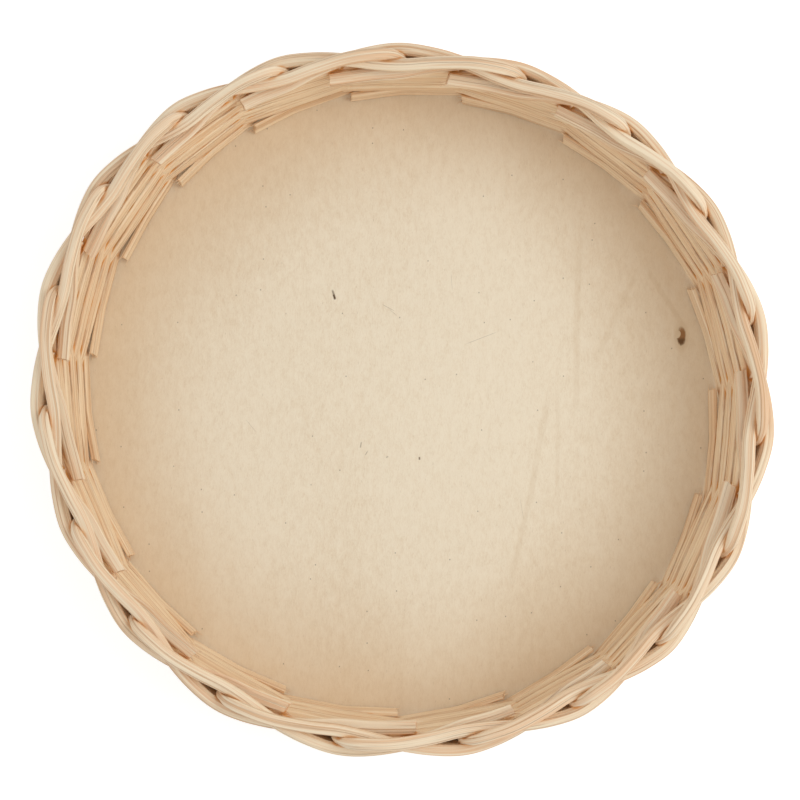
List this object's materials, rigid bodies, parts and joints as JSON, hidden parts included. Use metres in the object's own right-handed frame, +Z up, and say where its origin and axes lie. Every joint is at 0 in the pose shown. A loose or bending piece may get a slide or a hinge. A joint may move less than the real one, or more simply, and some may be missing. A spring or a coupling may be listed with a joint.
{
  "type": "tureen basket",
  "caption": "Round shallow wicker basket with a plywood base, a woven side and a braided scalloped border, for carrying a serving dish.",
  "frame": {"origin": "centre of the foot, on the surface that the basket stands on", "axes": "+Z up; +X towards the right of the picture and +Y towards its top, with the board's grain along Y"},
  "size_m": [0.3005, 0.2895, 0.0629],
  "materials": {
    "plywood": "bare sanded birch-like plywood with a fine lengthwise grain, matt",
    "willow_rod": "peeled pale rod, cream with tan streaks, satin to matt",
    "split_willow": "split and flattened rod, tan with fine lengthwise lines, matt"
  },
  "bodies": {
    "root": {"base_board": "plywood", "stake_01": "willow_rod", "stake_02": "willow_rod", "stake_03": "willow_rod", "stake_04": "willow_rod", "stake_05": "willow_rod", "stake_06": "willow_rod", "stake_07": "willow_rod", "stake_08": "willow_rod", "stake_09": "willow_rod", "stake_10": "willow_rod", "stake_11": "willow_rod", "stake_12": "willow_rod", "stake_13": "willow_rod", "stake_14": "willow_rod", "stake_15": "willow_rod", "stake_16": "willow_rod", "stake_17": "willow_rod", "stake_18": "willow_rod", "stake_19": "willow_rod", "weaver_01": "split_willow", "weaver_02": "split_willow", "weaver_03": "split_willow", "weaver_04": "split_willow", "weaver_05": "split_willow", "weaver_06": "split_willow", "weaver_07": "split_willow", "weaver_08": "split_willow", "weaver_09": "split_willow", "weaver_10": "split_willow", "weaver_11": "split_willow", "weaver_12": "split_willow", "weaver_13": "split_willow", "weaver_14": "split_willow", "weaver_15": "split_willow", "weaver_16": "split_willow", "weaver_17": "split_willow", "weaver_18": "split_willow", "weaver_19": "split_willow"}
  },
  "joints": []
}
